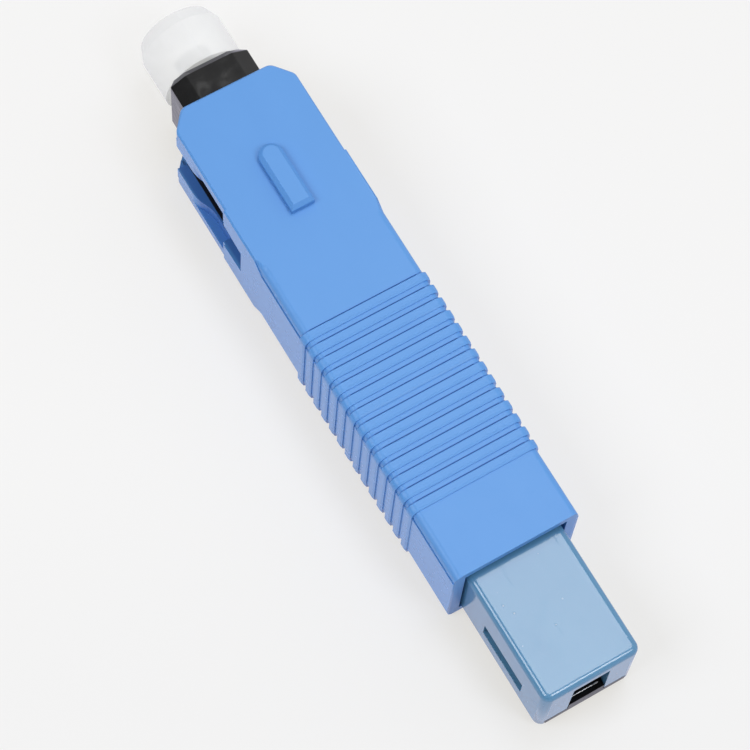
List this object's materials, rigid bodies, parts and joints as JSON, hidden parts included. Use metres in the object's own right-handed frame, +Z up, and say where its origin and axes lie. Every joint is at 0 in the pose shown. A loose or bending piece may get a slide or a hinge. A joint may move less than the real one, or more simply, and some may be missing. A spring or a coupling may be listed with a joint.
{
  "type": "sc fibre connector",
  "caption": "Push-pull SC fibre plug for a flat drop cable: ribbed coupling sleeve with side windows and key, sprung ferrule with a splice behind it, and a latched tail cover.",
  "frame": {"origin": "under the middle of the whole length, on the plane that the lower grip ribs rest on", "axes": "+X from the ferrule towards the cable inlet, +Z up through the polarity key, +Y across the sleeve's broad side"},
  "size_m": [0.0532, 0.0094, 0.0082],
  "materials": {
    "sleeve_blue": "satin moulded, sky blue",
    "frame_black": "satin moulded, black",
    "cap_clear": "translucent soft plastic",
    "zirconia": "polished white ceramic",
    "nickel": "turned, nickel plated",
    "fibre_glass": "polished",
    "spring_steel": "bright spring wire",
    "splice_grey": "fine matt moulded",
    "lid_ivory": "fine matt moulded",
    "housing_black": "satin moulded, black",
    "slider_white": "satin moulded, white",
    "funnel_white": "satin moulded",
    "tail_teal": "glossy moulded, teal blue",
    "holder_black": "satin moulded, black",
    "grip_steel": "pressed sheet"
  },
  "bodies": {
    "plug_body": {"plug_frame": "frame_black", "stop_ring": "nickel", "float_spring": "spring_steel", "rear_housing": "housing_black", "entry_funnel": "funnel_white", "cable_holder": "holder_black", "grip_channel": "grip_steel", "tail_cover": "tail_teal"},
    "sleeve": {"coupling_sleeve": "sleeve_blue"},
    "ferrule_group": {"ferrule": "zirconia", "ferrule_collar": "nickel", "fibre_stub": "fibre_glass", "splice_holder": "splice_grey", "v_groove_base": "splice_grey", "stub_lid": "lid_ivory", "splice_lid": "lid_ivory", "coating_lid": "lid_ivory", "clamp_spring": "spring_steel"},
    "cap": {"dust_cap": "cap_clear"},
    "slider": {"lock_slider": "slider_white"}
  },
  "joints": [
    {"name": "sleeve_slide", "type": "slide", "parent": "plug_body", "child": "sleeve", "axis": [1, 0, 0], "range_m": [0, 0.002]},
    {"name": "ferrule_float", "type": "slide", "parent": "plug_body", "child": "ferrule_group", "axis": [1, 0, 0], "range_m": [0, 0.001], "stiffness_N_per_m": 3000, "springref_m": -0.002, "deforming": ["float_spring"]},
    {"name": "cap_pull", "type": "slide", "parent": "plug_body", "child": "cap", "axis": [-1, 0, 0], "range_m": [0, 0.012]},
    {"name": "slider_lock", "type": "slide", "parent": "plug_body", "child": "slider", "axis": [1, 0, 0], "range_m": [0, 0.002]}
  ]
}
